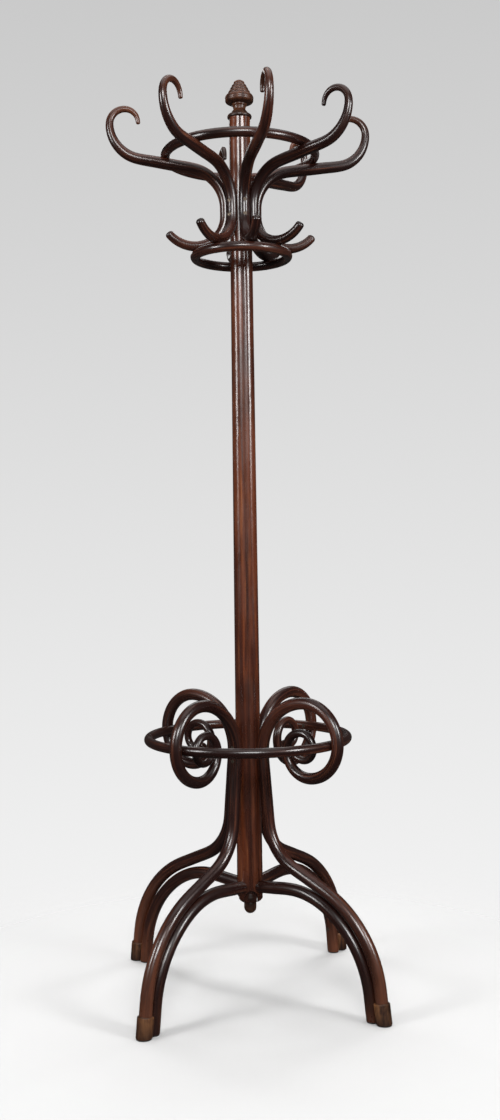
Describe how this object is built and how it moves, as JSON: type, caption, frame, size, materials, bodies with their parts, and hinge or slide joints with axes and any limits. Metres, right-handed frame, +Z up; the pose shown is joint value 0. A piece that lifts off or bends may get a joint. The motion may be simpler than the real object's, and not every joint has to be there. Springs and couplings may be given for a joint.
{
  "type": "hat and coat stand",
  "caption": "Free-standing bentwood hat and coat stand: lobed column, curled hooks, upper hoops, an umbrella ring and scrolled legs on block feet.",
  "frame": {"origin": "on the floor at the column's axis", "axes": "+Z up along the column, +X and +Y towards two neighbouring legs"},
  "size_m": [0.7236, 0.7236, 2],
  "materials": {
    "bent_wood": "dark red-brown stain under a glossy polish",
    "column_wood": "red-brown stain under a glossy polish",
    "turned_wood": "brown stain, polish a little worn",
    "foot_wood": "worn brown stain, satin",
    "dowel_wood": "plain beech",
    "screw_steel": "aged steel",
    "pad_rubber": "matte black"
  },
  "bodies": {
    "root": {"acorn_drop": "turned_wood", "arch_dowels": "dowel_wood", "column": "column_wood", "drop_dowel": "dowel_wood", "finial_cap": "turned_wood", "finial_collar": "column_wood", "finial_dowel": "dowel_wood", "foot_block_1": "foot_wood", "foot_block_2": "foot_wood", "foot_block_3": "foot_wood", "foot_block_4": "foot_wood", "foot_pad_1": "pad_rubber", "foot_pad_2": "pad_rubber", "foot_pad_3": "pad_rubber", "foot_pad_4": "pad_rubber", "foot_screws": "screw_steel", "hat_ring": "bent_wood", "hat_ring_screws": "screw_steel", "hook_1": "bent_wood", "hook_2": "bent_wood", "hook_3": "bent_wood", "hook_4": "bent_wood", "hook_5": "bent_wood", "hook_6": "bent_wood", "hook_7": "bent_wood", "hook_ring": "bent_wood", "hook_ring_screws": "screw_steel", "hook_screws_lower": "screw_steel", "hook_screws_upper": "screw_steel", "leg_arch_1": "bent_wood", "leg_arch_2": "bent_wood", "leg_arch_3": "bent_wood", "leg_arch_4": "bent_wood", "leg_screws_lower": "screw_steel", "leg_screws_upper": "screw_steel", "leg_scroll_1": "bent_wood", "leg_scroll_2": "bent_wood", "leg_scroll_3": "bent_wood", "leg_scroll_4": "bent_wood", "umbrella_ring": "bent_wood", "umbrella_ring_screws": "screw_steel"}
  },
  "joints": []
}
